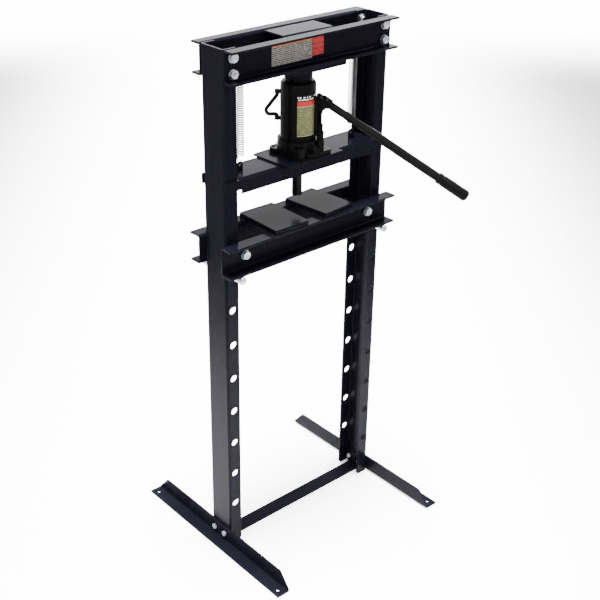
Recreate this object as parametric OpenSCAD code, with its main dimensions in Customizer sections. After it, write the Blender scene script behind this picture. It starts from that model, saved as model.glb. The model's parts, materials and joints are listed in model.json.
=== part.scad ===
// H-frame hydraulic shop press with a bottle jack, in millimetres.
// The origin is on the floor, midway between the feet: +X runs across the
// frame, +Y to its rear and +Z up.

/* [Frame] */
// Width over the backs of the two posts
frame_w = 500; // [480:2:540]
// Height of the posts
frame_h = 1318; // [1316:1:1320]
// Depth of a post, front to rear
post_d = 79; // [78:0.5:80]
// Width of a post's flanges
post_flange = 36; // [34:0.5:37]
// Thickness of the folded channels
sheet_t = 5; // [4.5:0.5:5]
// Outside radius of the channels' folds
fold_r = 7; // [7:0.5:10]
// Radius on the free lower corners of the posts
corner_r = 7; // [4:1:9]

/* [Pin holes] */
// Diameter of the holes for the support pins
pin_hole_d = 20; // [19:0.5:20]
// Distance of the holes from a post's back
pin_hole_in = 19.5; // [18:0.5:21]
// Height of the top row of holes
top_row_z = 784; // [780:1:788]
// Distance between rows
row_pitch = 94.4; // [90:0.2:96]
// Number of rows
rows = 8; // [4:1:8]
// Diameter of a support pin
pin_d = 18.6; // [17:0.2:18.8]
// Length of a support pin
pin_len = 160; // [156:2:170]

/* [Head] */
// Height of the head channels
head_h = 74; // [70:1:76]
// Width of their flanges, web included
head_flange = 33; // [30:1:36]
// Length of the saddle that ties them together
saddle_len = 147; // [120:1:160]
// Length and depth of the plate under the head
head_plate = [166, 144];
// Thickness of that plate
head_plate_t = 9; // [8:1:10]
// Outside diameter of the collar round the jack's head
collar_d = 66; // [62:1:70]
// Distance of the head bolts from a post's back
bolt_in = 22.5; // [21:0.5:24]

/* [Bed] */
// Height of the bed channels
bed_h = 74; // [70:1:75]
// Width of their flanges, web included
bed_flange = 36.5; // [32:0.5:40]
// Length of the bed channels
bed_len = 530; // [510:2:560]
// Distance of the spacer tubes from the middle
spacer_x = 198; // [192:1:200]
// Thickness of the arbor plates
arbor_t = 12; // [10:1:12]

/* [Platform] */
// Height of the platform's top
platform_z = 1020; // [1018:1:1020]
// Thickness of the platform
platform_t = 4; // [3:0.5:4]
// Depth of its front and rear lips
lip_h = 37; // [34:1:38]
// Diameter of the press pin
press_pin_d = 25; // [20:1:30]
// Height of the press pin's lower end
press_pin_z = 914; // [905:1:930]
// Distance of the springs from the middle
spring_x = 175; // [165:1:180]
// Outside diameter of the return springs
spring_d = 21.5; // [19:0.5:23]
// Wire of the return springs
spring_wire = 2.5; // [2:0.1:3]

/* [Jack] */
// Diameter of the reservoir
tank_d = 84; // [80:1:84]
// Height of the cast base
base_h = 36; // [34:1:36]
// Height of the reservoir above the base
tank_h = 139; // [130:1:139]
// Diameter of the ram
ram_d = 36; // [32:1:38]
// Direction of the pump, from +X about +Z
pump_dir = -60; // [-66:1:-54]
// Distance of the pump's axis from the jack's axis
pump_s = 55.6; // [55.6:0.1:56]
// Tilt of the pump lever below level, at its lower stop
lever_tilt = 28.7; // [24:0.1:32]

/* [Feet] */
// Length of a foot, front to rear
foot_len = 549; // [500:1:600]
// Width of a foot's flat leg
foot_w = 38; // [35:1:45]
// Height of a foot's upright leg
foot_h = 45; // [40:1:50]
// Diameter of the floor holes
floor_hole_d = 9; // [8:0.5:11]

/* [Hidden] */
$fn = 64;

half_w = frame_w / 2;
half_d = post_d / 2;
pin_x = half_w - pin_hole_in;
bolt_x = half_w - bolt_in;
bolt_d = 12;
bolt_hole_d = 13;
bolt_af = 19;
washer_t = 2;
thread_gap = 0.05;
head_z = frame_h - head_h;
head_bolt_z = [frame_h - 19, frame_h - 55.5];
pin_z = top_row_z - (pin_hole_d - pin_d) / 2 + 0.1;
bed_z = pin_z + pin_d / 2 + 0.1;
bed_gap = 0.5;
bed_y = half_d + bed_gap;
spacer_z = bed_z + bed_h / 2;
lip_y = half_d + 5;
lip_end_x = 203;
deck_x = half_w - post_flange - 3;
ear_drop = [2, 26];
hook_z = [platform_z + 13, head_z + 18];
coil_z = [platform_z + 35, head_z - 8];
jack_z = platform_z + platform_t;
tank_z = jack_z + base_h;
tank_top = tank_z + tank_h;
neck_r = 27;
tank_r = tank_d / 2;
head_under = head_z - head_plate_t;
collar_h = 30;
pump_body_top = tank_z + 38;
link_pin_d = 6;
pump_arm = 9.1;
pivot = [pump_s - pump_arm + 0.5, tank_z + 103];
lever_dir = [cos(lever_tilt), -sin(lever_tilt)];
plunger_eye = pivot + pump_arm * lever_dir;
plunger_r = 3.5;
pump_r = 6.5;
lever_r = 9.25;
socket_u = [22, 36];
step_u = 138;
grip_u = 332;
end_u = 414;
carry_dir = 130;
carry_r = 49;
foot_bolt_y = 20;
foot_bolt_z = 23;
foot_bolt_d = 8;
end_plate_t = 4;
label_t = 0.4;
ram_foot = jack_z + 18.2;
ram_top = head_under - 22;

black = [0.10, 0.10, 0.12];
gloss = [0.05, 0.05, 0.05];
zinc = [0.75, 0.76, 0.78];
steel = [0.55, 0.55, 0.57];

// Block with its two corners at x = 0 rounded: l along x, w across.
module round_back(l, w, r) {
    translate([r, -w / 2]) square([l - r, w]);
    translate([0, r - w / 2]) square([l, w - 2 * r]);
    for (s = [-1, 1]) translate([r, s * (w / 2 - r)]) circle(r);
}

// Folded channel section: back on x = 0, flanges towards +x.
module channel_2d(w, flange, t, r) {
    difference() {
        round_back(flange, w, r);
        translate([t, 0]) round_back(flange, w - 2 * t, r - t);
    }
}

// Channel along X with its back at y = 0 and its flanges towards -y.
module beam(l, h, flange, t, r) {
    rotate([90, 0, -90]) linear_extrude(l, center = true) channel_2d(h, flange, t, r);
}

// Channel along X, open below, with its back at z = 0.
module gutter(l, w, h, t, r) {
    rotate([0, 90, 0]) linear_extrude(l, center = true) channel_2d(w, h, t, r);
}

module rounded_plate(size, r, t) {
    linear_extrude(t) union() {
        square([size[0] - 2 * r, size[1]], center = true);
        square([size[0], size[1] - 2 * r], center = true);
        for (x = [-1, 1], y = [-1, 1])
            translate([x * (size[0] / 2 - r), y * (size[1] / 2 - r)]) circle(r);
    }
}

// Straight bar with round ends between two points of a plane.
module bar_2d(a, b, r) {
    run = b - a;
    len = norm(run);
    side = [-run[1], run[0]] * r / len;
    translate(a) circle(r);
    translate(b) circle(r);
    polygon([a + side, a - side, b - side, b + side]);
}

// Cylinder along Y between two values of y.
module bore_y(d, y0, y1) {
    translate([0, y1, 0]) rotate([90, 0, 0]) cylinder(h = y1 - y0, d = d);
}

// Cylinder along X between two values of x.
module bore_x(d, x0, x1) {
    translate([x0, 0, 0]) rotate([0, 90, 0]) cylinder(h = x1 - x0, d = d);
}

module both_sides() {
    children();
    mirror([1, 0, 0]) children();
}

module both_faces() {
    children();
    mirror([0, 1, 0]) children();
}

// Hexagon bolt along +Y: its head's seat is at y = 0 and the head is at y < 0.
module hex_bolt(d, af, head, len) {
    difference() {
        rotate([90, 0, 0]) cylinder(h = head, d = af / cos(30), $fn = 6);
        bore_y(af * 0.55, -head - 1, 1.2 - head);
    }
    bore_y(d, -0.5, len);
}

module hex_nut(d, af, h) {
    difference() {
        translate([0, h, 0]) rotate([90, 0, 0]) cylinder(h = h, d = af / cos(30), $fn = 6);
        bore_y(d + 2 * thread_gap, -1, h + 1);
    }
}

module washer(d_in, d_out, t) {
    difference() {
        bore_y(d_out, 0, t);
        bore_y(d_in, -1, t + 1);
    }
}

// ---- Frame -----------------------------------------------------------

module post() {
    corner_x = half_w - post_flange;
    difference() {
        translate([-half_w, 0, 0]) linear_extrude(frame_h)
            channel_2d(post_d, post_flange, sheet_t, fold_r);
        for (k = [0:rows - 1])
            translate([-pin_x, 0, top_row_z - k * row_pitch]) bore_y(pin_hole_d, -post_d, post_d);
        for (z = head_bolt_z) translate([-bolt_x, 0, z]) bore_y(bolt_hole_d, -post_d, post_d);
        for (y = [-1, 1])
            translate([0, y * foot_bolt_y, foot_bolt_z])
                bore_x(foot_bolt_d + 1, -half_w - 1, -half_w + sheet_t + 1);
        difference() {
            translate([-corner_x - corner_r, -post_d, -1]) cube([corner_r + 1, 2 * post_d, corner_r + 1]);
            translate([-corner_x - corner_r, 0, corner_r]) bore_y(2 * corner_r, -post_d - 1, post_d + 1);
        }
    }
}

module post_left() { color(black) post(); }
module post_right() { color(black) mirror([1, 0, 0]) post(); }

module head_channel() {
    difference() {
        translate([0, -half_d, head_z + head_h / 2])
            beam(frame_w, head_h, head_flange, sheet_t, fold_r);
        both_sides() for (z = head_bolt_z)
            translate([bolt_x, 0, z]) bore_y(bolt_hole_d, -half_d - sheet_t - 1, -half_d + 1);
    }
}

module head_front() { color(black) head_channel(); }
module head_rear() { color(black) mirror([0, 1, 0]) head_channel(); }

module head_saddle() {
    color(black) translate([-1.5, 0, frame_h]) gutter(saddle_len, post_d, head_h, sheet_t, 10);
}

module head_plate() {
    color(black) translate([0, 0, head_under]) rounded_plate(head_plate, 2, head_plate_t);
}

module head_collar() {
    color(black) difference() {
        translate([0, 0, head_under - collar_h]) cylinder(h = collar_h, d = collar_d);
        translate([0, 0, head_under - collar_h - 1]) cylinder(h = collar_h + 2, d = collar_d - 14);
    }
}

module spring_rods() {
    color(steel) both_sides() translate([spring_x, 0, hook_z[1]]) bore_y(8, -half_d, half_d);
}

module at_head_bolts() {
    both_faces() both_sides() for (z = head_bolt_z)
        translate([bolt_x, -half_d - sheet_t, z]) children();
}

module head_bolts() {
    color(zinc) at_head_bolts() translate([0, -washer_t, 0]) hex_bolt(bolt_d, bolt_af, 7.5, 26);
}

module head_washers() {
    color(zinc) at_head_bolts() translate([0, -washer_t, 0]) washer(bolt_hole_d, 23, washer_t);
}

module head_nuts() {
    color(zinc) at_head_bolts() translate([0, 2 * sheet_t, 0]) hex_nut(bolt_d, bolt_af, 10);
}

module head_label() {
    color([0.55, 0.52, 0.47])
        translate([-119, -half_d - sheet_t - label_t, frame_h - 59]) cube([119, label_t, 52]);
}

module head_badge() {
    color([0.75, 0.16, 0.14])
        translate([1, -half_d - sheet_t - label_t, frame_h - 55]) cube([34, label_t, 46]);
}

// ---- Feet ------------------------------------------------------------

module angle_2d(w, h, t, r) {
    difference() {
        union() {
            translate([r, 0]) square([w - r, h]);
            translate([0, r]) square([w, h - r]);
            translate([r, r]) circle(r);
        }
        translate([t, t]) union() {
            translate([r - t, 0]) square([w, h]);
            translate([0, r - t]) square([w, h]);
            translate([r - t, r - t]) circle(r - t);
        }
    }
}

// Angle along Y against the back of the right post.
module foot() {
    chamfer = foot_h - sheet_t;
    difference() {
        translate([half_w, 0, 0]) rotate([90, 0, 0])
            linear_extrude(foot_len, center = true) angle_2d(foot_w, foot_h, sheet_t, 6);
        both_faces() translate([half_w + sheet_t + 1, foot_len / 2, foot_h]) rotate([0, -90, 0])
            linear_extrude(sheet_t + 2) polygon([[1, 1], [1, -chamfer * 0.86], [-chamfer, 1]]);
        for (y = [-1, 1]) {
            translate([0, y * foot_bolt_y, foot_bolt_z])
                bore_x(foot_bolt_d + 1, half_w - 1, half_w + sheet_t + 1);
            translate([half_w + 23, y * (foot_len / 2 - 18.5), -1])
                cylinder(h = sheet_t + 2, d = floor_hole_d);
        }
    }
}

module foot_right() { color(black) foot(); }
module foot_left() { color(black) mirror([1, 0, 0]) foot(); }

module at_foot_bolts() {
    both_sides() for (y = [-1, 1])
        translate([half_w + sheet_t, y * foot_bolt_y, foot_bolt_z]) rotate([0, 0, 90]) children();
}

module foot_bolts() { color(zinc) at_foot_bolts() hex_bolt(foot_bolt_d, 13, 5.5, 24); }

module foot_nuts() {
    color(zinc) at_foot_bolts() translate([0, 2 * sheet_t + end_plate_t, 0])
        hex_nut(foot_bolt_d, 13, 6.5);
}

module crossbar() {
    color(black) translate([end_plate_t + sheet_t - half_w, -20, 0])
        cube([frame_w - 2 * (end_plate_t + sheet_t), 40, sheet_t]);
}

module crossbar_ends() {
    color(black) both_sides() difference() {
        translate([half_w - sheet_t - end_plate_t, -30, 0]) cube([end_plate_t, 60, 40]);
        for (y = [-1, 1]) translate([0, y * foot_bolt_y, foot_bolt_z])
            bore_x(foot_bolt_d + 1, half_w - sheet_t - end_plate_t - 1, half_w);
    }
}

// ---- Bed -------------------------------------------------------------

module bed_channel() {
    difference() {
        translate([0, -bed_y, bed_z + bed_h / 2]) beam(bed_len, bed_h, bed_flange, sheet_t, fold_r);
        both_sides() translate([spacer_x, 0, spacer_z])
            bore_y(bolt_hole_d, -bed_y - sheet_t - 1, -bed_y + 1);
    }
}

module bed_front() { color(black) bed_channel(); }
module bed_rear() { color(black) mirror([0, 1, 0]) bed_channel(); }

module at_spacers() { both_sides() translate([spacer_x, 0, spacer_z]) children(); }

module bed_spacers() {
    color(black) at_spacers() translate([0, -bed_y, 0]) washer(bolt_hole_d, 25, 2 * bed_y);
}

module bed_bolts() {
    color(zinc) at_spacers() translate([0, -bed_y - sheet_t - washer_t, 0])
        hex_bolt(bolt_d, bolt_af, 7.5, 2 * (bed_y + sheet_t + washer_t) + 13);
}

module bed_washers() {
    color(zinc) at_spacers() both_faces() translate([0, -bed_y - sheet_t - washer_t, 0])
        washer(bolt_hole_d, 23, washer_t);
}

module bed_nuts() {
    color(zinc) at_spacers() translate([0, bed_y + sheet_t + washer_t, 0])
        hex_nut(bolt_d, bolt_af, 10);
}

module support_pin(side) {
    color(zinc) translate([side * pin_x, 0, pin_z]) bore_y(pin_d, -pin_len / 2, pin_len / 2);
}

module support_pin_left() { support_pin(-1); }
module support_pin_right() { support_pin(1); }

module arbor_plate(size, place, turn) {
    color(black) translate([place[0], place[1], bed_z + bed_h]) rotate([0, 0, turn])
        rounded_plate(size, 1.5, arbor_t);
}

module arbor_plate_left() { arbor_plate([100, 140], [-76, -4], -1.5); }
module arbor_plate_right() { arbor_plate([97, 137], [73, 0], 5); }

// ---- Platform --------------------------------------------------------

module platform() {
    color(black) translate([0, 0, platform_z]) {
        gutter(2 * lip_end_x, 2 * lip_y, lip_h, platform_t, 7);
        gutter(2 * deck_x, 2 * lip_y, ear_drop[1], platform_t, 7);
        both_sides() both_faces() translate([deck_x, -lip_y, -ear_drop[1]])
            cube([half_w + 1 - deck_x, platform_t, ear_drop[1] - ear_drop[0]]);
    }
}

module press_pin() {
    top = platform_z - platform_t;
    color(gloss) {
        translate([0, 0, press_pin_z]) cylinder(h = 1.5, d1 = press_pin_d - 3, d2 = press_pin_d);
        translate([0, 0, press_pin_z + 1.5]) cylinder(h = top - press_pin_z - 1.5, d = press_pin_d);
        translate([0, 0, top - 6]) cylinder(h = 6, d = press_pin_d + 14);
    }
}

module spring_lugs() {
    color(black) both_sides() difference() {
        translate([spring_x, 0, platform_z]) rotate([90, 0, 0]) linear_extrude(3, center = true)
            union() {
                translate([-8, 0]) square([16, hook_z[0] - platform_z]);
                translate([0, hook_z[0] - platform_z]) circle(8);
            }
        translate([spring_x, 0, hook_z[0]]) bore_y(7, -3, 3);
    }
}

// Half ring of wire in the XZ plane, open towards z < 0.
module half_ring(r) {
    rotate([90, 0, 0]) intersection() {
        rotate_extrude() translate([r, 0]) circle(d = spring_wire);
        translate([-20, 0, -5]) cube([40, 20, 10]);
    }
}

// A close-wound tension spring: a sleeve with a straight leg and a hook at each end.
module spring() {
    ring_r = 6;
    eye_z = hook_z[0] + 8;
    translate([0, 0, coil_z[0]]) difference() {
        cylinder(h = coil_z[1] - coil_z[0], d = spring_d);
        translate([0, 0, -1]) cylinder(h = coil_z[1] - coil_z[0] + 2, d = spring_d - 2 * spring_wire);
    }
    for (z = [coil_z[0], coil_z[1] - spring_wire]) translate([0, 0, z]) difference() {
        cylinder(h = spring_wire, d = spring_d - spring_wire);
        translate([0, 0, -1]) cylinder(h = spring_wire + 2, r = ring_r - spring_wire / 2);
    }
    translate([0, 0, hook_z[1]]) half_ring(ring_r);
    translate([ring_r, 0, coil_z[1] - 2]) cylinder(h = hook_z[1] - coil_z[1] + 2, d = spring_wire);
    translate([0, 0, eye_z]) rotate([0, 0, 90]) mirror([0, 0, 1]) half_ring(ring_r);
    translate([0, ring_r, eye_z]) cylinder(h = coil_z[0] - eye_z + 2, d = spring_wire);
}

module spring_left() { color(zinc) translate([-spring_x, 0, 0]) spring(); }
module spring_right() { color(zinc) translate([spring_x, 0, 0]) spring(); }

module jack_plate() {
    color(black) translate([-2, -5, platform_z]) rotate([0, 0, 3]) rounded_plate([175, 127], 1.5, platform_t);
}

// ---- Jack ------------------------------------------------------------

module on_pump() { rotate([0, 0, pump_dir]) translate([pump_s, 0, 0]) children(); }

// Outline in the pump's upright plane, made t thick and centred at y = mid.
module pump_slice(t, mid) {
    rotate([0, 0, pump_dir]) translate([0, mid, 0]) rotate([90, 0, 0])
        linear_extrude(t, center = true) children();
}

module jack_base() {
    flange_t = 11;
    color(gloss) translate([0, 0, jack_z]) difference() {
        union() {
            translate([19, 0, 0]) rounded_plate([78, 124], 13, flange_t);
            translate([-34, 35, 0]) rounded_plate([32, 32], 11, flange_t);
            translate([-36, -47, 0]) rounded_plate([22, 24], 5, base_h - 8);
            cylinder(h = base_h, r = 48.5);
            on_pump() cylinder(h = base_h, r = pump_r + 3);
            translate([0, 0, 20]) bore_y(22, -56, 0);
        }
        translate([0, 0, 12]) cylinder(h = base_h, d = ram_d + 18);
        on_pump() translate([0, 0, 14]) cylinder(h = base_h, r = pump_r - 1.4);
        translate([0, 0, 20]) bore_y(10.2, -57, -38);
        translate([44, 48, 3]) cylinder(h = flange_t, r = 6);
        translate([-39.5, 40.5, 3]) cylinder(h = flange_t, r = 5);
    }
}

module jack_tank() {
    r = 8;
    wall = 4;
    color(gloss) translate([0, 0, tank_z]) rotate_extrude() difference() {
        union() {
            square([tank_r, tank_h - r]);
            square([tank_r - r, tank_h]);
            translate([tank_r - r, tank_h - r]) circle(r);
            square([tank_r + 1.5, 4]);
        }
        translate([-tank_r, -1]) square([2 * tank_r - wall, tank_h - 5]);
        translate([-1, -1]) square([neck_r + 1, tank_h + 2]);
        translate([-20, -10]) square([20, tank_h + 20]);
    }
}

module jack_cylinder() {
    color(steel) translate([0, 0, jack_z + 12]) difference() {
        cylinder(h = tank_top - jack_z - 18, d = ram_d + 16);
        translate([0, 0, 6]) cylinder(h = tank_h + base_h, d = ram_d + 4.1);
    }
}

module jack_top_nut() {
    color(gloss) difference() {
        union() {
            translate([0, 0, tank_top - 6]) cylinder(h = 7, r = neck_r - thread_gap);
            translate([0, 0, tank_top]) cylinder(h = 4, r = 31);
        }
        translate([0, 0, tank_top - 7]) cylinder(h = 20, d = ram_d + 0.1);
    }
}

module jack_ram() {
    color(steel) difference() {
        translate([0, 0, ram_foot + 12]) cylinder(h = ram_top - ram_foot - 12, d = ram_d);
        translate([0, 0, ram_foot + 40]) cylinder(h = ram_top - ram_foot, d = 24);
    }
}

module ram_piston() {
    color(steel) translate([0, 0, ram_foot]) cylinder(h = 12, d = ram_d + 4);
}

module extension_screw() {
    stem = 130;
    color(steel) difference() {
        union() {
            translate([0, 0, ram_top - stem]) cylinder(h = stem, d = 24 - 2 * thread_gap);
            translate([0, 0, ram_top]) cylinder(h = head_under - ram_top, d = 40);
        }
        for (a = [0, 60, 120]) translate([0, 0, head_under - 1]) rotate([0, 0, a])
            translate([0, 0, 1]) cube([50, 2.4, 2.4], center = true);
    }
}

module tank_label() {
    span = 78;
    color([0.62, 0.60, 0.42]) translate([0, 0, tank_z + 14]) rotate([0, 0, -95 - span / 2])
        intersection() {
            difference() {
                cylinder(h = 98, r = tank_r + label_t);
                translate([0, 0, -1]) cylinder(h = 100, r = tank_r);
            }
            linear_extrude(98) polygon([[0, 0], [60, 0], [80 * cos(span / 2), 80 * sin(span / 2)],
                [60 * cos(span), 60 * sin(span)]]);
        }
}

module filler_plug() {
    color([0.15, 0.15, 0.15]) translate([0, 0, tank_z + 120]) difference() {
        bore_y(12, tank_r - 2, tank_r + 3);
        translate([0, 0, -10]) cylinder(h = 20, r = tank_r);
    }
}

module release_valve() {
    color(gloss) translate([0, 0, jack_z + 20]) difference() {
        union() {
            bore_y(10, -58, -40);
            bore_y(16, -68, -57);
        }
        translate([0, -68, 0]) cube([3, 8, 20], center = true);
    }
}

module at_carry() { rotate([0, 0, carry_dir]) translate([carry_r, 0, tank_z]) children(); }

module carry_eyes() {
    color(gloss) difference() {
        for (z = [40, 104]) at_carry() difference() {
            union() {
                translate([0, 0, z]) cylinder(h = 9, r = 6.5);
                translate([-12, -4, z]) cube([12, 8, 9]);
            }
            translate([0, 0, z - 1]) cylinder(h = 11, d = 7.1);
        }
        translate([0, 0, tank_z]) cylinder(h = tank_h, r = tank_r);
    }
}

module carry_handle() {
    r = 3.5;
    low = [0, 54];
    high = [0, 100];
    elbow = [23, 52];
    outer = [28, 62];
    color(gloss) at_carry() {
        rotate([90, 0, 0]) linear_extrude(2 * r - 1, center = true) union() {
            bar_2d(low, elbow, r);
            bar_2d(elbow, outer, r);
            bar_2d(outer, high, r);
        }
        translate([0, 0, 41]) cylinder(h = low[1] - 41, r = r);
        translate([0, 0, high[1]]) cylinder(h = 112 - high[1], r = r);
    }
}

// ---- Pump and lever --------------------------------------------------

module pump_body() {
    color(gloss) on_pump() difference() {
        union() {
            translate([0, 0, jack_z + 15]) cylinder(h = base_h - 15, r = pump_r - 1.5);
            translate([0, 0, tank_z]) cylinder(h = pump_body_top - tank_z, r = pump_r);
            translate([0, 0, tank_z]) cylinder(h = 10, d = 17, $fn = 6);
        }
        translate([0, 0, tank_z - 18]) cylinder(h = 80, r = plunger_r + thread_gap);
    }
}

module fulcrum_ears() {
    r = 4.5;
    clamp_z = tank_z + 10.3;
    color(gloss) {
        for (y = [-7.5, 7.5]) pump_slice(3, y) difference() {
            bar_2d([pivot[0] + 0.5, clamp_z + r], pivot, r);
            translate(pivot) circle(d = link_pin_d + 0.1);
        }
        on_pump() translate([0, 0, clamp_z]) difference() {
            cylinder(h = 9, r = pump_r + 2.5);
            translate([0, 0, -1]) cylinder(h = 11, r = pump_r + thread_gap);
        }
    }
}

module fulcrum_pin() {
    color(zinc) pump_slice(28, 0) translate(pivot) circle(d = link_pin_d);
}

module plunger_pin() {
    color(zinc) pump_slice(28, 0) translate(plunger_eye) circle(d = link_pin_d);
}

module pump_plunger() {
    slack = 0.8;
    foot = tank_z - 10;
    neck = plunger_eye[1] - 12;
    color(steel) difference() {
        union() {
            on_pump() translate([0, 0, foot]) cylinder(h = neck + 4 - foot, r = plunger_r);
            pump_slice(6, 0) bar_2d([pump_s, neck], [pump_s, plunger_eye[1]], 5.4);
        }
        pump_slice(8, 0) bar_2d([pump_s - slack, plunger_eye[1]], [pump_s + slack, plunger_eye[1]],
            link_pin_d / 2 + 0.4);
    }
}

// Point of the lever's centre line, u away from its pivot.
function lever_axis(u) = pivot + u * lever_dir;

// Places children with +Z along the lever, u away from its pivot.
module on_lever(u) {
    rotate([0, 0, pump_dir]) translate([pivot[0], 0, pivot[1]])
        rotate([0, 90 + lever_tilt, 0]) translate([0, 0, u]) children();
}

module lever_socket() {
    color(gloss) difference() {
        union() {
            for (y = [-11, 11]) pump_slice(3, y) union() {
                bar_2d(pivot, lever_axis(16), 5.5);
                bar_2d(lever_axis(14), lever_axis(socket_u[1] - 6), 8);
                bar_2d(lever_axis(17), pivot + [13, -30], 4.5);
            }
            on_lever(socket_u[0]) cylinder(h = socket_u[1] - socket_u[0], r = 12.5);
        }
        on_lever(10) cylinder(h = 60, r = lever_r + thread_gap);
        for (eye = [pivot, plunger_eye]) pump_slice(30, 0) translate(eye) circle(d = link_pin_d + 0.1);
        on_lever(socket_u[0] + 7) rotate([90, 0, 0]) cylinder(h = 20, d = 6.1);
    }
}

module lever_tube() {
    color(gloss) difference() {
        on_lever(socket_u[0]) cylinder(h = step_u + 58 - socket_u[0], r = lever_r);
        on_lever(socket_u[0] - 1) cylinder(h = step_u + 80, r = lever_r - 2);
        on_lever(socket_u[0] + 7) rotate([90, 0, 0]) cylinder(h = 20, d = 6.1);
    }
}

module socket_screw() {
    color(zinc) on_lever(socket_u[0] + 7) rotate([90, 0, 0]) {
        translate([0, 0, 7.5]) cylinder(h = 6, d = 6);
        translate([0, 0, 13]) cylinder(h = 4, d = 10 / cos(30), $fn = 6);
    }
}

module handle_tube() {
    color(gloss) on_lever(step_u) difference() {
        cylinder(h = end_u - step_u - 6, r = 10.6);
        translate([0, 0, -1]) cylinder(h = end_u, r = lever_r + 0.08);
    }
}

module handle_grip() {
    r = 13.2;
    tip = 7;
    len = end_u - grip_u;
    color(gloss) on_lever(grip_u) difference() {
        rotate_extrude() intersection() {
            union() {
                square([r, len - tip]);
                square([r - tip, len]);
                translate([r - tip, len - tip]) circle(tip);
                square([r + 1, 4]);
            }
            square([r + 1, len]);
        }
        translate([0, 0, -1]) cylinder(h = len - 5, r = 10.65);
    }
}

post_left();
post_right();
head_front();
head_rear();
head_saddle();
head_plate();
head_collar();
spring_rods();
head_bolts();
head_washers();
head_nuts();
head_label();
head_badge();
foot_left();
foot_right();
foot_bolts();
foot_nuts();
crossbar();
crossbar_ends();
bed_front();
bed_rear();
bed_spacers();
bed_bolts();
bed_washers();
bed_nuts();
support_pin_left();
support_pin_right();
arbor_plate_left();
arbor_plate_right();
platform();
press_pin();
spring_lugs();
spring_left();
spring_right();
jack_plate();
jack_base();
jack_tank();
jack_cylinder();
jack_top_nut();
jack_ram();
ram_piston();
extension_screw();
tank_label();
filler_plug();
release_valve();
carry_eyes();
carry_handle();
pump_body();
fulcrum_ears();
pump_plunger();
fulcrum_pin();
plunger_pin();
lever_socket();
lever_tube();
socket_screw();
handle_tube();
handle_grip();
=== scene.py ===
import json
import math
import random

import bpy
import bmesh
from mathutils import Matrix, Vector


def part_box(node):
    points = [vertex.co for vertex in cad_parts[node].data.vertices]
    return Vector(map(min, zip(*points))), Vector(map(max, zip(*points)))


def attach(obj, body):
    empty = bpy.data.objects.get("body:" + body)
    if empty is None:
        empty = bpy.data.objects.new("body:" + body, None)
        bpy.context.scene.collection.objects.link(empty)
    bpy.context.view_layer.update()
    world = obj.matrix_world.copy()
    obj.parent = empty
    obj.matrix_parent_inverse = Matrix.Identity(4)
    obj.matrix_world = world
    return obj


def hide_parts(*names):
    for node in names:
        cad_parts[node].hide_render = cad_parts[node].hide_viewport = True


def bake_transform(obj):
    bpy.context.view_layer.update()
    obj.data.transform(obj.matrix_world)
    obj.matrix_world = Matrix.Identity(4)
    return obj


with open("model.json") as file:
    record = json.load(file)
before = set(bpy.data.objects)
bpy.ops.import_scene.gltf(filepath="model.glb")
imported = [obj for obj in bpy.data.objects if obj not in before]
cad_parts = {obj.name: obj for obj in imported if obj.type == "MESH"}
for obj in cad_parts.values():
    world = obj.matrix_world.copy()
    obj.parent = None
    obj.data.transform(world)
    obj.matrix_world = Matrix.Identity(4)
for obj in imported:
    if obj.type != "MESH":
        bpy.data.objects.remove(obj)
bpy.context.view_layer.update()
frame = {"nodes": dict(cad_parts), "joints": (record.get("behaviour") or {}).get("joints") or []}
nodes = frame["nodes"]
dice = random.Random(12)
mm = 0.001
print("frame loaded")


# camera, floor and light

cameraSetup = {
    "place": (-1.63125, -1.8244, 1.92266),
    "heading": -39.93,  # degrees from +Y
    "lookDown": 26.82,
    "lens": 65.49,
    "shift": (0.0606, -0.036),
}


def makeCamera(setup):
    data = bpy.data.cameras.new("camera")
    data.lens = setup["lens"]
    data.sensor_width = 36
    data.shift_x, data.shift_y = setup["shift"]
    data.clip_end = 60
    camera = bpy.data.objects.new("camera", data)
    bpy.context.collection.objects.link(camera)
    tilt = math.radians(90 - setup["lookDown"])
    camera.rotation_euler = (tilt, 0, math.radians(setup["heading"]))
    camera.location = setup["place"]
    bpy.context.scene.camera = camera


floorSetup = {"edge": 30, "drop": 0.0004, "color": (0.93, 0.93, 0.935, 1), "rough": 0.9, "gloss": 0.1}

lightSetup = {
    # the walls glow up to one elevation and fade to the ceiling at another
    "wall": 5.6,
    "ceiling": 0.7,
    "fade": (28, 42),
    # softboxes overhead, in line with the camera: one over the press, a wider one behind it
    "spread": 30,
    "boxes": {
        "softboxNear": {"ahead": 1.7, "height": 3.0, "size": (2.4, 6.0), "watts": 640},
        "softboxFar": {"ahead": 8.0, "height": 3.4, "size": (7.5, 6.6), "watts": 2200},
    },
}


def makeFloor(setup):
    mesh = bpy.data.meshes.new("floor")
    edge = setup["edge"]
    corners = [(-edge, -edge, 0), (edge, -edge, 0), (edge, edge, 0), (-edge, edge, 0)]
    mesh.from_pydata(corners, [], [(0, 1, 2, 3)])
    floor = bpy.data.objects.new("floor", mesh)
    bpy.context.collection.objects.link(floor)
    floor.location.z = -setup["drop"]
    paper = bpy.data.materials.new("floorPaper")
    paper.use_nodes = True
    shader = paper.node_tree.nodes["Principled BSDF"]
    shader.inputs["Base Color"].default_value = setup["color"]
    shader.inputs["Roughness"].default_value = setup["rough"]
    shader.inputs["Specular IOR Level"].default_value = setup["gloss"]
    mesh.materials.append(paper)


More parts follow.
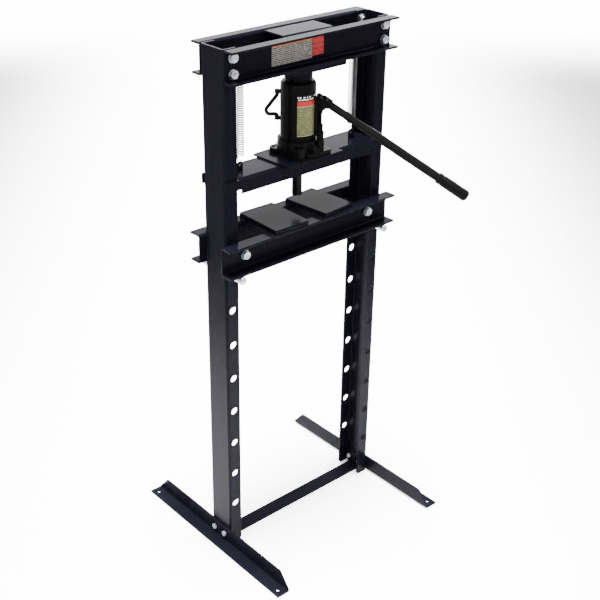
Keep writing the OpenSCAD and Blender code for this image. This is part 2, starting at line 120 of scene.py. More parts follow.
def makeLights(setup):
    world = bpy.data.worlds.new("studio")
    world.use_nodes = True
    sky = world.node_tree.nodes["Background"]
    sky.inputs["Color"].default_value = (1, 1, 1, 1)
    where = world.node_tree.nodes.new("ShaderNodeTexCoord")
    part = world.node_tree.nodes.new("ShaderNodeSeparateXYZ")
    fade = world.node_tree.nodes.new("ShaderNodeMapRange")
    fade.interpolation_type = "SMOOTHSTEP"
    fade.inputs["From Min"].default_value, fade.inputs["From Max"].default_value = [
        math.sin(math.radians(angle)) for angle in setup["fade"]]
    fade.inputs["To Min"].default_value = setup["wall"]
    fade.inputs["To Max"].default_value = setup["ceiling"]
    world.node_tree.links.new(where.outputs["Generated"], part.inputs[0])
    world.node_tree.links.new(part.outputs["Z"], fade.inputs["Value"])
    world.node_tree.links.new(fade.outputs["Result"], sky.inputs["Strength"])
    bpy.context.scene.world = world
    heading = math.radians(cameraSetup["heading"])
    aheadX, aheadY = -math.sin(heading), math.cos(heading)
    for name, box in setup["boxes"].items():
        data = bpy.data.lights.new(name, "AREA")
        data.shape = "RECTANGLE"
        data.size, data.size_y = box["size"]
        data.energy = box["watts"]
        data.spread = math.radians(setup["spread"])
        lamp = bpy.data.objects.new(name, data)
        bpy.context.collection.objects.link(lamp)
        lamp.location = (box["ahead"] * aheadX, box["ahead"] * aheadY, box["height"])
        lamp.rotation_euler = (0, 0, heading)


makeCamera(cameraSetup)
makeFloor(floorSetup)
makeLights(lightSetup)
print("camera, floor and lights made")


# shader groups

def newGroup(name, inputs, outputs):
    group = bpy.data.node_groups.new(name, "ShaderNodeTree")
    for label, kind, value in inputs:
        socket = group.interface.new_socket(name=label, in_out="INPUT", socket_type=kind)
        if value is not None:
            socket.default_value = value
    for label, kind in outputs:
        group.interface.new_socket(name=label, in_out="OUTPUT", socket_type=kind)
    source = group.nodes.new("NodeGroupInput")
    sink = group.nodes.new("NodeGroupOutput")
    return group, source, sink


def feed(tree, socket, value):
    # links another node's output, or sets a constant
    if isinstance(value, bpy.types.NodeSocket):
        tree.links.new(value, socket)
    else:
        socket.default_value = value


def addNode(tree, kind, settings=None, **links):
    # an input is named by its label, with _ for a space, or by i and its number
    node = tree.nodes.new(kind)
    for key, value in (settings or {}).items():
        setattr(node, key, value)
    for label, value in links.items():
        key = int(label[1:]) if label[0] == "i" and label[1:].isdigit() else label.replace("_", " ")
        feed(tree, node.inputs[key], value)
    return node


def mathNode(tree, operation, *values):
    node = tree.nodes.new("ShaderNodeMath")
    node.operation = operation
    for index, value in enumerate(values):
        feed(tree, node.inputs[index], value)
    return node.outputs[0]


def rangeNode(tree, value, low, high, newLow, newHigh):
    node = addNode(tree, "ShaderNodeMapRange", None, Value=value)
    ends = {"From Min": low, "From Max": high, "To Min": newLow, "To Max": newHigh}
    for label, number in ends.items():
        feed(tree, node.inputs[label], number)
    return node.outputs["Result"]


def mixColor(tree, factor, first, second):
    node = tree.nodes.new("ShaderNodeMix")
    node.data_type = "RGBA"
    for index, value in ((0, factor), (6, first), (7, second)):
        feed(tree, node.inputs[index], value)
    return node.outputs[2]


def grainNode(tree, vector, scale, detail=2.0):
    node = addNode(tree, "ShaderNodeTexNoise", None, Vector=vector, Scale=scale, Detail=detail)
    return node.outputs[0]


# noise sizes are in turns per metre, and each range is where a noise value turns from none to all
coatGrain = {
    "cloud": 9.0,
    "cloudRange": (0.35, 0.65),
    "haze": 0.05,
    "speck": 900.0,
    "speckRange": (0.66, 0.72),
    "dullness": 0.3,
}


def coatGroup(grain):
    # sprayed or baked coat: broad cloudiness, fine peel, a few dull specks of dust
    group, source, sink = newGroup("coatFinish", [
        ("Vector", "NodeSocketVector", None),
        ("Color", "NodeSocketColor", (0.01, 0.01, 0.012, 1)),
        ("Dust Color", "NodeSocketColor", (0.008, 0.008, 0.009, 1)),
        ("Peel Scale", "NodeSocketFloat", 500.0),
        ("Rough Low", "NodeSocketFloat", 0.2),
        ("Rough High", "NodeSocketFloat", 0.3),
        ("Dust", "NodeSocketFloat", 0.1),
    ], [("Color", "NodeSocketColor"), ("Roughness", "NodeSocketFloat"), ("Height", "NodeSocketFloat")])
    inputs = source.outputs
    cloud = grainNode(group, inputs["Vector"], grain["cloud"], 4.0)
    peel = grainNode(group, inputs["Vector"], inputs["Peel Scale"])
    speck = grainNode(group, inputs["Vector"], grain["speck"], 3.0)
    dustMask = rangeNode(group, speck, *grain["speckRange"], 0.0, 1.0)
    dustMask = mathNode(group, "MULTIPLY", dustMask, inputs["Dust"])
    cloudMask = rangeNode(group, cloud, *grain["cloudRange"], 0.0, 1.0)
    haze = mathNode(group, "MULTIPLY", cloudMask, grain["haze"])
    lighter = mixColor(group, haze, inputs["Color"], inputs["Dust Color"])
    color = mixColor(group, dustMask, lighter, inputs["Dust Color"])
    rough = rangeNode(group, cloud, *grain["cloudRange"], inputs["Rough Low"], inputs["Rough High"])
    dull = mathNode(group, "MULTIPLY", dustMask, grain["dullness"])
    group.links.new(color, sink.inputs["Color"])
    group.links.new(mathNode(group, "ADD", rough, dull), sink.inputs["Roughness"])
    group.links.new(peel, sink.inputs["Height"])
    return group


platedGrain = {
    "streak": 1400.0,
    "streakRange": (0.3, 0.7),
    "cloud": 90.0,
    "cloudRange": (0.4, 0.7),
    "tint": 0.5,
}


def platedGroup(grain):
    # zinc plate and ground steel: faint tint, drawn streaks along one axis
    group, source, sink = newGroup("platedFinish", [
        ("Vector", "NodeSocketVector", None),
        ("Color", "NodeSocketColor", (0.7, 0.71, 0.73, 1)),
        ("Tint", "NodeSocketColor", (0.62, 0.6, 0.5, 1)),
        ("Streak", "NodeSocketVector", (1, 1, 1)),
        ("Rough Low", "NodeSocketFloat", 0.2),
        ("Rough High", "NodeSocketFloat", 0.4),
    ], [("Color", "NodeSocketColor"), ("Roughness", "NodeSocketFloat"), ("Height", "NodeSocketFloat")])
    inputs = source.outputs
    stretched = addNode(group, "ShaderNodeVectorMath", {"operation": "MULTIPLY"},
                        i0=inputs["Vector"], i1=inputs["Streak"])
    streaks = grainNode(group, stretched.outputs[0], grain["streak"])
    cloud = grainNode(group, inputs["Vector"], grain["cloud"], 3.0)
    tintMask = rangeNode(group, cloud, *grain["cloudRange"], 0.0, grain["tint"])
    group.links.new(mixColor(group, tintMask, inputs["Color"], inputs["Tint"]), sink.inputs["Color"])
    rough = rangeNode(group, streaks, *grain["streakRange"], inputs["Rough Low"], inputs["Rough High"])
    group.links.new(rough, sink.inputs["Roughness"])
    group.links.new(streaks, sink.inputs["Height"])
    return group


barGrain = {"rowStep": 7.3, "gap": 0.43}


def printGroup(grain):
    # blank print: rows of broken bars, with no letters in them
    group, source, sink = newGroup("printBars", [
        ("Across", "NodeSocketFloat", 0.0),
        ("Up", "NodeSocketFloat", 0.0),
        ("Row Height", "NodeSocketFloat", 0.004),
        ("Fill", "NodeSocketFloat", 0.5),
        ("Word Length", "NodeSocketFloat", 0.006),
    ], [("Mask", "NodeSocketFloat")])
    inputs = source.outputs
    rows = mathNode(group, "DIVIDE", inputs["Up"], inputs["Row Height"])
    inRow = mathNode(group, "LESS_THAN", mathNode(group, "FRACT", rows), inputs["Fill"])
    rowShift = mathNode(group, "MULTIPLY", mathNode(group, "FLOOR", rows), grain["rowStep"])
    words = mathNode(group, "DIVIDE", inputs["Across"], inputs["Word Length"])
    spot = addNode(group, "ShaderNodeCombineXYZ", None, X=words, Y=rowShift)
    noise = addNode(group, "ShaderNodeTexNoise", {"noise_dimensions": "2D"},
                    Vector=spot.outputs[0], Scale=1.0, Detail=1.0)
    isWord = mathNode(group, "GREATER_THAN", noise.outputs[0], grain["gap"])
    group.links.new(mathNode(group, "MULTIPLY", inRow, isWord), sink.inputs["Mask"])
    return group


coatFinish = coatGroup(coatGrain)
platedFinish = platedGroup(platedGrain)
printBars = printGroup(barGrain)


def newMaterial(name, metallic=0.0, specular=0.5):
    material = bpy.data.materials.new(name)
    material.use_nodes = True
    shader = material.node_tree.nodes["Principled BSDF"]
    shader.inputs["Metallic"].default_value = metallic
    shader.inputs["Specular IOR Level"].default_value = specular
    return material, material.node_tree, shader


def bumpInto(tree, shader, height, strength, distance):
    bump = addNode(tree, "ShaderNodeBump", None, Strength=strength, Distance=distance, Height=height)
    tree.links.new(bump.outputs[0], shader.inputs["Normal"])


def coatMaterial(name, color, rough, specular, peelScale=500.0, bump=0.15, bumpDepth=0.0002, dust=0.04,
                 tint=(1, 1, 1)):
    material, tree, shader = newMaterial(name, specular=specular)
    shader.inputs["Specular Tint"].default_value = (*tint, 1)
    where = addNode(tree, "ShaderNodeTexCoord")
    group = addNode(tree, "ShaderNodeGroup", {"node_tree": coatFinish}, Vector=where.outputs["Object"],
                    Color=(*color, 1), Peel_Scale=peelScale, Rough_Low=rough[0], Rough_High=rough[1],
                    Dust=dust)
    tree.links.new(group.outputs["Color"], shader.inputs["Base Color"])
    tree.links.new(group.outputs["Roughness"], shader.inputs["Roughness"])
    bumpInto(tree, shader, group.outputs["Height"], bump, bumpDepth)
    return material


def platedMaterial(name, color, tint, rough, streak=(1, 1, 1), bump=0.1, bumpDepth=0.00005):
    material, tree, shader = newMaterial(name, metallic=1.0)
    where = addNode(tree, "ShaderNodeTexCoord")
    group = addNode(tree, "ShaderNodeGroup", {"node_tree": platedFinish}, Vector=where.outputs["Object"],
                    Color=(*color, 1), Tint=(*tint, 1), Streak=streak, Rough_Low=rough[0],
                    Rough_High=rough[1])
    tree.links.new(group.outputs["Color"], shader.inputs["Base Color"])
    tree.links.new(group.outputs["Roughness"], shader.inputs["Roughness"])
    bumpInto(tree, shader, group.outputs["Height"], bump, bumpDepth)
    return material


labelFilm = {
    "specular": 0.1,
    "grain": 600.0,
    "grainRange": (0.3, 0.7),
    "rough": (0.3, 0.42),
    "bump": 0.08,
    "bumpDepth": 0.0001,
    "barFill": 0.45,
    "markFill": 0.6,
    "borderInset": 1.5 * mm,
    "borderWidth": 0.5 * mm,
}


def between(tree, height, low, high):
    above = mathNode(tree, "GREATER_THAN", height, low)
    below = mathNode(tree, "LESS_THAN", height, high)
    return mathNode(tree, "MULTIPLY", above, below)


def barMask(tree, across, up, rowHeight, wordLength, fill):
    bars = addNode(tree, "ShaderNodeGroup", {"node_tree": printBars}, Across=across, Up=up,
                   Row_Height=rowHeight, Word_Length=wordLength, Fill=fill)
    return bars.outputs["Mask"]


def borderMask(tree, up, low, high, film):
    # two thin lines, just inside the low and the high edge
    fromMiddle = mathNode(tree, "ABSOLUTE", mathNode(tree, "SUBTRACT", up, (low + high) / 2))
    fromLine = mathNode(tree, "SUBTRACT", fromMiddle, (high - low) / 2 - film["borderInset"])
    return mathNode(tree, "LESS_THAN", mathNode(tree, "ABSOLUTE", fromLine), film["borderWidth"])


def labelMaterial(name, ground, ink, rowHeight, wordLength, bands=(), marks=(), borders=()):
    # bands are plain stripes, marks hold bars, and borders are lines: each is (low, high, tone)
    film = labelFilm
    material, tree, shader = newMaterial(name, specular=film["specular"])
    where = addNode(tree, "ShaderNodeTexCoord")
    part = addNode(tree, "ShaderNodeSeparateXYZ", None, Vector=where.outputs["Object"])
    across, up = part.outputs["X"], part.outputs["Z"]
    bars = barMask(tree, across, up, rowHeight, wordLength, film["barFill"])
    color = mixColor(tree, bars, (*ground, 1), (*ink, 1))
    for low, high, tone in bands:
        color = mixColor(tree, between(tree, up, low, high), color, (*tone, 1))
    for low, high, tone in marks:
        coarse = barMask(tree, across, up, (high - low) / 2, wordLength, film["markFill"])
        mask = mathNode(tree, "MULTIPLY", between(tree, up, low, high), coarse)
        color = mixColor(tree, mask, color, (*tone, 1))
    for low, high, tone in borders:
        color = mixColor(tree, borderMask(tree, up, low, high, film), color, (*tone, 1))
    tree.links.new(color, shader.inputs["Base Color"])
    grain = grainNode(tree, where.outputs["Object"], film["grain"])
    rough = rangeNode(tree, grain, *film["grainRange"], *film["rough"])
    tree.links.new(rough, shader.inputs["Roughness"])
    bumpInto(tree, shader, grain, film["bump"], film["bumpDepth"])
    return material


framePaint = coatMaterial("framePaint", (0.002, 0.0019, 0.0035), rough=(0.14, 0.22), specular=0.016,
                          tint=(0.9, 0.86, 1.0))
jackPaint = coatMaterial("jackPaint", (0.0018, 0.0018, 0.0017), rough=(0.1, 0.18), specular=0.02,
                         peelScale=300.0)
castPaint = coatMaterial("castPaint", (0.002, 0.002, 0.0019), rough=(0.2, 0.34), specular=0.025,
                         peelScale=420.0, bump=0.5, bumpDepth=0.0008)
gripCoat = coatMaterial("gripCoat", (0.0015, 0.0015, 0.0015), rough=(0.28, 0.4), specular=0.016,
                        peelScale=900.0)
plugRubber = coatMaterial("plugRubber", (0.006, 0.006, 0.006), rough=(0.6, 0.8), specular=0.1,
                          peelScale=900.0)
zincPlate = platedMaterial("zincPlate", (0.28, 0.295, 0.33), tint=(0.25, 0.24, 0.21), rough=(0.2, 0.36))
springWire = platedMaterial("springWire", (0.02, 0.02, 0.021), tint=(0.017, 0.017, 0.017),
                            rough=(0.22, 0.34))
groundSteel = platedMaterial("groundSteel", (0.2, 0.2, 0.2), tint=(0.16, 0.155, 0.15),
                             rough=(0.15, 0.32), streak=(1, 1, 0.05))
print("materials made")


# finishes on the carried-over nodes

nodeFinish = {
    framePaint: ["post_left", "post_right", "head_front", "head_rear", "head_saddle", "head_plate",
                 "head_collar", "foot_left", "foot_right", "crossbar", "crossbar_ends", "bed_front",
                 "bed_rear", "bed_spacers", "arbor_plate_left", "arbor_plate_right", "platform",
                 "spring_lugs", "jack_plate"],
    jackPaint: ["press_pin", "jack_tank", "jack_top_nut", "release_valve", "carry_eyes", "pump_body",
                "fulcrum_ears", "lever_socket", "lever_tube", "handle_tube", "fulcrum_pin",
                "plunger_pin", "socket_screw", "pump_plunger"],
    castPaint: ["jack_base"],
    zincPlate: ["head_washers", "bed_washers"],
    groundSteel: ["spring_rods", "jack_cylinder", "jack_ram", "ram_piston", "extension_screw"],
    plugRubber: ["filler_plug"],
}


def setMaterial(piece, material):
    piece.data.materials.clear()
    piece.data.materials.append(material)


for material, names in nodeFinish.items():
    for name in names:
        setMaterial(nodes[name], material)

softEdges = {
    0.8 * mm: ["post_left", "post_right", "head_front", "head_rear", "head_saddle", "head_plate",
               "foot_left", "foot_right", "crossbar", "crossbar_ends", "bed_front", "bed_rear",
               "arbor_plate_left", "arbor_plate_right", "platform", "spring_lugs", "jack_plate"],
    0.6 * mm: ["jack_base", "jack_top_nut", "press_pin", "lever_socket", "carry_eyes", "fulcrum_ears"],
}
for width, names in softEdges.items():
    for name in names:
        weld = nodes[name].modifiers.new("weld", "WELD")
        weld.merge_threshold = 1e-5
        bevel = nodes[name].modifiers.new("softEdge", "BEVEL")
        bevel.width = width
        bevel.segments = 2
        bevel.limit_method = "ANGLE"
        bevel.angle_limit = math.radians(30)


# mesh helpers

def newPiece(name, mesh, material, slot, body, *replaced):
    piece = bpy.data.objects.new(name, mesh)
    bpy.context.collection.objects.link(piece)
    setMaterial(piece, material)
    if body:
        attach(piece, body)
    if replaced:
        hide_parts(*replaced)
    return piece


def finishMesh(name, work):
    bmesh.ops.remove_doubles(work, verts=work.verts, dist=1e-6)
    bmesh.ops.recalc_face_normals(work, faces=work.faces)
    mesh = bpy.data.meshes.new(name)
    work.to_mesh(mesh)
    work.free()
    mesh.polygons.foreach_set("use_smooth", [True] * len(mesh.polygons))
    return mesh


def addLoft(work, rings, closed=False):
    # skins a list of rings of points, and caps both ends unless closed
    made = [[work.verts.new(point) for point in ring] for ring in rings]
    count = len(made[0])
    pairs = list(zip(made, made[1:] + made[:1])) if closed else list(zip(made, made[1:]))
    for first, second in pairs:
        for k in range(count):
            work.faces.new((first[k], first[(k + 1) % count], second[(k + 1) % count], second[k]))
    if not closed:
        work.faces.new(made[0])
        work.faces.new(list(reversed(made[-1])))


def addTube(work, points, radius, sides=10):
    # round wire along points, its rings kept from twisting
    points = [Vector(p) for p in points]
    side = None
    rings = []
    for k, point in enumerate(points):
        ahead = (points[min(k + 1, len(points) - 1)] - points[max(k - 1, 0)]).normalized()
        if side is None:
            side = ahead.orthogonal().normalized()
        side = (side - ahead * side.dot(ahead)).normalized()
        other = ahead.cross(side)
        rings.append([point + radius * (math.cos(a) * side + math.sin(a) * other)
                      for a in (2 * math.pi * j / sides for j in range(sides))])
    addLoft(work, rings)


def addLathe(work, profile, place, steps=48):
    # turns (radius, along) pairs about +Z of the matrix place
    rings = [[place @ Vector((r * math.cos(a), r * math.sin(a), z))
              for a in (2 * math.pi * j / steps for j in range(steps))] for r, z in profile]
    addLoft(work, rings)


def addHex(work, across, height, chamfer, place, hole=0.0, bothEnds=False, steps=72):
    # hexagon block with the turned chamfer of a bolt head or nut, outward along +Z of place
    flat = across / 2

    def hexRadius(angle):
        return flat / math.cos((angle + math.pi / 6) % (math.pi / 3) - math.pi / 6)

    cone = flat / math.cos(math.pi / 6)
    levels = [(0.0, cone - (chamfer if bothEnds else 0))]
    if bothEnds:
        levels += [(chamfer * 0.5 * k / 4, cone - chamfer * (1 - k / 4)) for k in range(1, 5)]
    levels += [(height - chamfer * 0.55 * (1 - k / 5), cone - chamfer * 1.15 * k / 5) for k in range(6)]
    rings = []
    for z, limit in levels:
        rings.append([place @ Vector((min(hexRadius(a), limit) * math.cos(a),
                                      min(hexRadius(a), limit) * math.sin(a), z))
                      for a in (2 * math.pi * j / steps for j in range(steps))])

    def circle(radius, z):
        return [place @ Vector((radius * math.cos(a), radius * math.sin(a), z))
                for a in (2 * math.pi * j / steps for j in range(steps))]

    if hole:
        rings.insert(0, circle(hole, 0))
        rings.append(circle(hole, height))
        addLoft(work, rings, closed=True)
    else:
        rings.append(circle(flat * 0.62, height))
        rings.append(circle(flat * 0.55, height - 0.4 * mm))
        addLoft(work, rings)


def facing(place, direction, spin=0.0):
    # matrix whose +Z looks along direction
    turn = Vector(direction).to_track_quat("Z", "Y").to_matrix().to_4x4()
    return Matrix.Translation(place) @ turn @ Matrix.Rotation(spin, 4, "Z")


def threadProfile(radius, length, pitch=1.6 * mm, depth=0.5 * mm):
    turns = int(length / pitch)
    profile = [(radius - depth, 0.0)]
    for k in range(turns):
        profile += [(radius, (k + 0.25) * pitch), (radius, (k + 0.45) * pitch),
                    (radius - depth, (k + 0.85) * pitch)]
    profile.append((radius - 1.2 * depth, length))
    return profile


def sharpen(piece, angle=32):
    # rounds what is smooth and keeps the corners crisp
    piece.data.set_sharp_from_angle(angle=math.radians(angle))


# bolts, nuts and pins

boltSizes = {
    "across": 19 * mm,
    "head": 7.5 * mm,
    "chamfer": 1.6 * mm,
    "nutChamfer": 1.28 * mm,
    "shank": 6 * mm,
    "threadGap": 0.05 * mm,
    "nut": 10 * mm,
    "tail": 3.5 * mm,  # thread past the nut
    "nutTurn": 0.4,  # radians between a bed bolt's head and its nut
}


def boxOf(node):
    return [Vector(corner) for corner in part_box(node)]


def makeHeadBolts(sizes):
    low, high = boxOf("head_bolts")
    x = high.x - sizes["across"] / 2 / math.cos(math.pi / 6)
    levels = (low.z + sizes["across"] / 2, high.z - sizes["across"] / 2)
    seat = high.y - sizes["head"]
    nutSeat = boxOf("head_nuts")[1].y
    bolts, nuts = bmesh.new(), bmesh.new()
    for face in (-1, 1):
        for side in (-1, 1):
            for z in levels:
                spin = dice.uniform(0, math.pi / 3)
                addHex(bolts, sizes["across"], sizes["head"], sizes["chamfer"],
                       facing((side * x, face * seat, z), (0, face, 0), spin))
                addLathe(bolts, [(sizes["shank"], 0), (sizes["shank"], seat - nutSeat)],
                         facing((side * x, face * seat, z), (0, -face, 0)), 32)
                addLathe(bolts, threadProfile(sizes["shank"] - sizes["threadGap"],
                                              sizes["nut"] + sizes["tail"]),
                         facing((side * x, face * nutSeat, z), (0, -face, 0)), 32)
                addHex(nuts, sizes["across"], sizes["nut"], sizes["nutChamfer"],
                       facing((side * x, face * nutSeat, z), (0, -face, 0), dice.uniform(0, 1)),
                       hole=sizes["shank"], bothEnds=True)
    for name, work in (("head_bolts", bolts), ("head_nuts", nuts)):
        piece = newPiece("turned_" + name, finishMesh(name, work), zincPlate, "zinc", "frame", name)
        sharpen(piece)


def makeBedBolts(sizes):
    low, high = boxOf("bed_bolts")
    x = high.x - sizes["across"] / 2 / math.cos(math.pi / 6)
    z = (low.z + high.z) / 2
    headSeat = low.y + sizes["head"]
    nutLow = boxOf("bed_nuts")[0]
    bolts, nuts = bmesh.new(), bmesh.new()
    for side in (-1, 1):
        spin = dice.uniform(0, math.pi / 3)
        addHex(bolts, sizes["across"], sizes["head"], sizes["chamfer"],
               facing((side * x, headSeat, z), (0, -1, 0), spin))
        addLathe(bolts, [(sizes["shank"], 0), (sizes["shank"], nutLow.y - headSeat)],
                 facing((side * x, headSeat, z), (0, 1, 0)), 32)
        addLathe(bolts, threadProfile(sizes["shank"] - sizes["threadGap"], high.y - nutLow.y),
                 facing((side * x, nutLow.y, z), (0, 1, 0)), 32)
        addHex(nuts, sizes["across"], sizes["nut"], sizes["nutChamfer"],
               facing((side * x, nutLow.y, z), (0, 1, 0), spin + sizes["nutTurn"]),
               hole=sizes["shank"], bothEnds=True)
    for name, work in (("bed_bolts", bolts), ("bed_nuts", nuts)):
        piece = newPiece("turned_" + name, finishMesh(name, work), zincPlate, "zinc", "bed", name)
        sharpen(piece)


footBoltSizes = {
    "across": 13 * mm,
    "head": 5.5 * mm,
    "chamfer": 1.1 * mm,
    "shank": 4 * mm,
    "threadGap": 0.05 * mm,
    "thread": 24 * mm,
    "pitch": 1.25 * mm,
    "threadDepth": 0.35 * mm,
    "nut": 6.5 * mm,
    "nutTurn": 0.5,
}


def makeFootBolts(sizes):
    low, high = boxOf("foot_bolts")
    nutHigh = boxOf("foot_nuts")[1]
    halfY = sizes["across"] / 2 / math.cos(math.pi / 6)
    y, z = high.y - halfY, (low.z + high.z) / 2
    seat = high.x - sizes["head"]
    bolts, nuts = bmesh.new(), bmesh.new()
    for side in (-1, 1):
        for row in (-1, 1):
            spin = dice.uniform(0, math.pi / 3)
            addHex(bolts, sizes["across"], sizes["head"], sizes["chamfer"],
                   facing((side * seat, row * y, z), (side, 0, 0), spin))
            addLathe(bolts, threadProfile(sizes["shank"] - sizes["threadGap"], sizes["thread"],
                                          sizes["pitch"], sizes["threadDepth"]),
                     facing((side * seat, row * y, z), (-side, 0, 0)), 24)
            addHex(nuts, sizes["across"], sizes["nut"], sizes["chamfer"],
                   facing((side * nutHigh.x, row * y, z), (-side, 0, 0), spin + sizes["nutTurn"]),
                   hole=sizes["shank"], bothEnds=True)
    for name, work in (("foot_bolts", bolts), ("foot_nuts", nuts)):
        piece = newPiece("turned_" + name, finishMesh(name, work), zincPlate, "zinc", "frame", name)
        sharpen(piece)


pinSizes = {"bevel": 1.5 * mm, "steps": 64}


def makeSupportPins(sizes):
    for name in ("support_pin_left", "support_pin_right"):
        low, high = boxOf(name)
        radius = (high.z - low.z) / 2
        length = high.y - low.y
        bevel = sizes["bevel"]
        profile = [(radius - bevel, 0), (radius - 0.3 * bevel, 0.3 * bevel), (radius, bevel),
                   (radius, length - bevel), (radius - 0.3 * bevel, length - 0.3 * bevel),
                   (radius - bevel, length)]
        work = bmesh.new()
        centre = ((low.x + high.x) / 2, low.y, (low.z + high.z) / 2)
        addLathe(work, profile, facing(centre, (0, 1, 0)), sizes["steps"])
        piece = newPiece("turned_" + name, finishMesh(name, work), zincPlate, "zinc", name, name)
        sharpen(piece)


makeHeadBolts(boltSizes)
makeBedBolts(boltSizes)
makeFootBolts(footBoltSizes)
makeSupportPins(pinSizes)
print("bolts, nuts and pins made")


# springs

springSizes = {
    "wire": 1.25 * mm,
    "pitch": 5.4 * mm,
    "stepsPerTurn": 18,
    "topDrop": 26 * mm,   # from the hanger rod to the first coil
    "hook": 5.6 * mm,
    "eye": 6 * mm,
    "eyeRise": 14 * mm,   # from the eye's centre to the last coil
}


def makeSpring(node, sizes):
    low, high = boxOf(node)
    rodLow, rodHigh = boxOf("spring_rods")
    wire = sizes["wire"]
    axisX = (low.x + high.x) / 2
    radius = (high.x - low.x) / 2 - wire
    rodRadius = (rodHigh.z - rodLow.z) / 2
    hookZ = rodLow.z + 2 * rodRadius + wire - sizes["hook"]
    eyeZ = low.z + wire + sizes["eye"]
    top, bottom = rodLow.z + rodRadius - sizes["topDrop"], eyeZ + sizes["eyeRise"]
    turns = round((top - bottom) / sizes["pitch"]) + 0.25
    steps = round(turns * sizes["stepsPerTurn"])
    points = []
    for k in range(15):  # open hook over the hanger rod
        angle = math.radians(-60 + 240 * k / 14)
        points.append((axisX - sizes["hook"] * math.cos(angle), 0,
                       hookZ + sizes["hook"] * math.sin(angle)))
    for k in range(1, 7):  # down and out to the first coil
        t = k / 7
        points.append((axisX + sizes["hook"] * (1 - t) + radius * t, 0,
                       hookZ * (1 - t) + (top + mm) * t))
    for k in range(steps + 1):
        angle = turns * 2 * math.pi * k / steps
        points.append((axisX + radius * math.cos(angle), radius * math.sin(angle),
                       top + (bottom - top) * k / steps))
    for k in range(1, 7):  # in and down to the eye
        t = k / 7
        points.append((axisX, radius + (sizes["eye"] - radius) * t, bottom - sizes["eyeRise"] * t))
    for k in range(15):  # round eye through the lug
        angle = math.radians(240 * k / 14)
        points.append((axisX, sizes["eye"] * math.cos(angle), eyeZ - sizes["eye"] * math.sin(angle)))
    work = bmesh.new()
    addTube(work, points, wire, 8)
    piece = newPiece("coil_" + node, finishMesh(node, work), springWire, "zinc", None, node)
    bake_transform(piece)


makeSpring("spring_left", springSizes)
makeSpring("spring_right", springSizes)
print("springs wound")


# carry handle and grip

def jointOf(name):
    return next(joint for joint in frame["joints"] if joint["name"] == name)


carrySizes = {
    "rod": 4.8 * mm,
    "bends": 9 * mm,
    # reach from the pivot line, and height above the low end or below the high one
    "neckDrop": 12 * mm,
    "elbow": (27.5 * mm, 22 * mm),
    "heel": (23 * mm, 11 * mm),
    "foot": (0, 12.5 * mm),
}


def roundedPath(corners, bend, steps=8):
    # straight runs with round bends at the inner corners
    corners = [Vector(c) for c in corners]
    path = [corners[0]]
    for before, corner, after in zip(corners, corners[1:], corners[2:]):
        back = (before - corner).normalized()
        ahead = (after - corner).normalized()
        reach = min(bend, (before - corner).length / 2.1, (after - corner).length / 2.1)
        first, last = corner + back * reach, corner + ahead * reach
        for k in range(steps + 1):
            t = k / steps
            path.append(first * (1 - t) ** 2 + corner * 2 * t * (1 - t) + last * t ** 2)
    path.append(corners[-1])
    return path


def makeCarryHandle(sizes):
    pivot = Vector(jointOf("carry_handle_swing")["pos_m"])
    out = Vector((pivot.x, pivot.y, 0)).normalized()
    low, high = boxOf("carry_handle")

    def at(reach, z):
        return Vector((pivot.x, pivot.y, z)) + out * reach

    corners = [at(0, high.z), at(0, high.z - sizes["neckDrop"])]
    corners += [at(reach, low.z + rise) for reach, rise in (sizes["elbow"], sizes["heel"], sizes["foot"])]
    corners.append(at(0, low.z))
    work = bmesh.new()
    addTube(work, roundedPath(corners, sizes["bends"]), sizes["rod"], 16)
    newPiece("bent_carry_handle", finishMesh("carry_handle", work), jackPaint, "jack_paint",
             "carry_handle", "carry_handle")


gripSizes = {
    "from": 332 * mm,
    "length": 82 * mm,
    "radius": 13.2 * mm,
    "bore": 10.7 * mm,
    "tip": 8 * mm,
    # inset from the radius, and distance from the mouth, down the collar and its groove
    "collar": [(0.8, 0.0), (0.1, 0.6), (0, 1.8), (0, 7), (0.5, 9), (0.5, 12), (0.1, 14), (0, 30)],
    "crown": (2 * mm, 0.6 * mm, 0.2 * mm),  # shoulder inset, middle radius, dimple
}


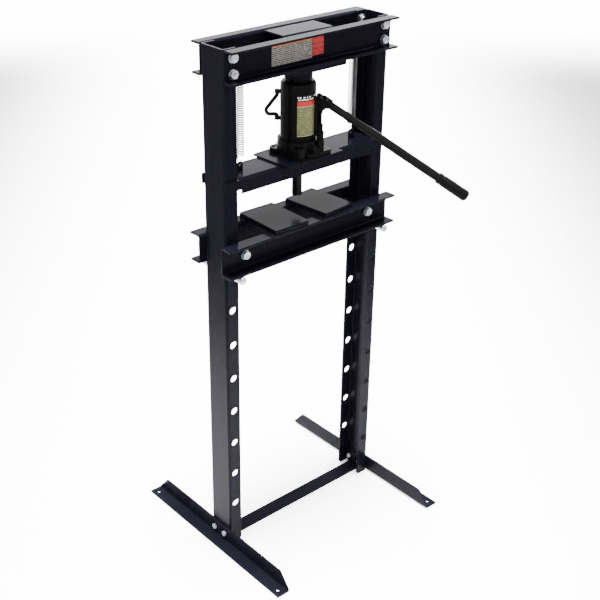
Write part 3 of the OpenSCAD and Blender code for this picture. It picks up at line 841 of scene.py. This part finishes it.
def makeGrip(sizes):
    along = Vector(jointOf("handle_pull")["axis"]).normalized()
    start = Vector(jointOf("lever_hinge")["pos_m"]) + along * sizes["from"]
    radius, length, tip = sizes["radius"], sizes["length"], sizes["tip"]
    profile = [(sizes["bore"], 0.0)]
    profile += [(radius - inset * mm, run * mm) for inset, run in sizes["collar"]]
    profile.append((radius, length - tip))
    for k in range(1, 9):
        angle = math.radians(90 * k / 8)
        profile.append((radius - tip + tip * math.cos(angle), length - tip + tip * math.sin(angle)))
    shoulder, middle, dimple = sizes["crown"]
    profile += [(radius - tip - shoulder, length), (middle, length - dimple)]
    work = bmesh.new()
    addLathe(work, profile, facing(start, along), 64)
    piece = newPiece("moulded_grip", finishMesh("handle_grip", work), gripCoat, "grip", "handle",
                     "handle_grip")
    sharpen(piece, 40)


makeCarryHandle(carrySizes)
makeGrip(gripSizes)
print("carry handle and grip made")


# labels

headPrint = {
    "ground": (0.09, 0.083, 0.075),
    "ink": (0.02, 0.018, 0.017),
    "row": 4.2 * mm,
    "word": 5 * mm,
    "strip": 10 * mm,
    "stripTone": (0.2, 0.06, 0.01),
}


def printHeadLabel(sizes):
    top = boxOf("head_label")[1].z
    strip = (top - sizes["strip"], top + mm, sizes["stripTone"])
    setMaterial(nodes["head_label"], labelMaterial(
        "headPrint", sizes["ground"], sizes["ink"], sizes["row"], sizes["word"], [strip]))


badgePrint = {"ground": (0.17, 0.011, 0.01), "ink": (0.1, 0.008, 0.007), "row": 11 * mm, "word": 12 * mm}


def printBadge(sizes):
    setMaterial(nodes["head_badge"], labelMaterial(
        "badgePrint", sizes["ground"], sizes["ink"], sizes["row"], sizes["word"]))


tankPrint = {
    "ground": (0.075, 0.075, 0.033),
    "ink": (0.035, 0.037, 0.016),
    "row": 4.0 * mm,
    "word": 6 * mm,
    "bandFoot": 25 * mm,  # both band edges are measured down from the top
    "bandHead": 14 * mm,
    "bandTone": (0.19, 0.012, 0.011),
    "capTone": (0.003, 0.003, 0.003),
    "markTone": (0.3, 0.3, 0.3),
    "borderTone": (0.16, 0.16, 0.12),
}


def printTankLabel(sizes):
    low, high = boxOf("tank_label")
    bandLow, bandHigh = high.z - sizes["bandFoot"], high.z - sizes["bandHead"]
    bands = [(bandLow, bandHigh, sizes["bandTone"]), (bandHigh, high.z + mm, sizes["capTone"])]
    marks = [(bandHigh + mm, high.z - 2 * mm, sizes["markTone"])]
    borders = [(low.z, bandLow, sizes["borderTone"])]
    setMaterial(nodes["tank_label"], labelMaterial(
        "tankPrint", sizes["ground"], sizes["ink"], sizes["row"], sizes["word"], bands, marks, borders))


printHeadLabel(headPrint)
printBadge(badgePrint)
printTankLabel(tankPrint)
print("labels printed")
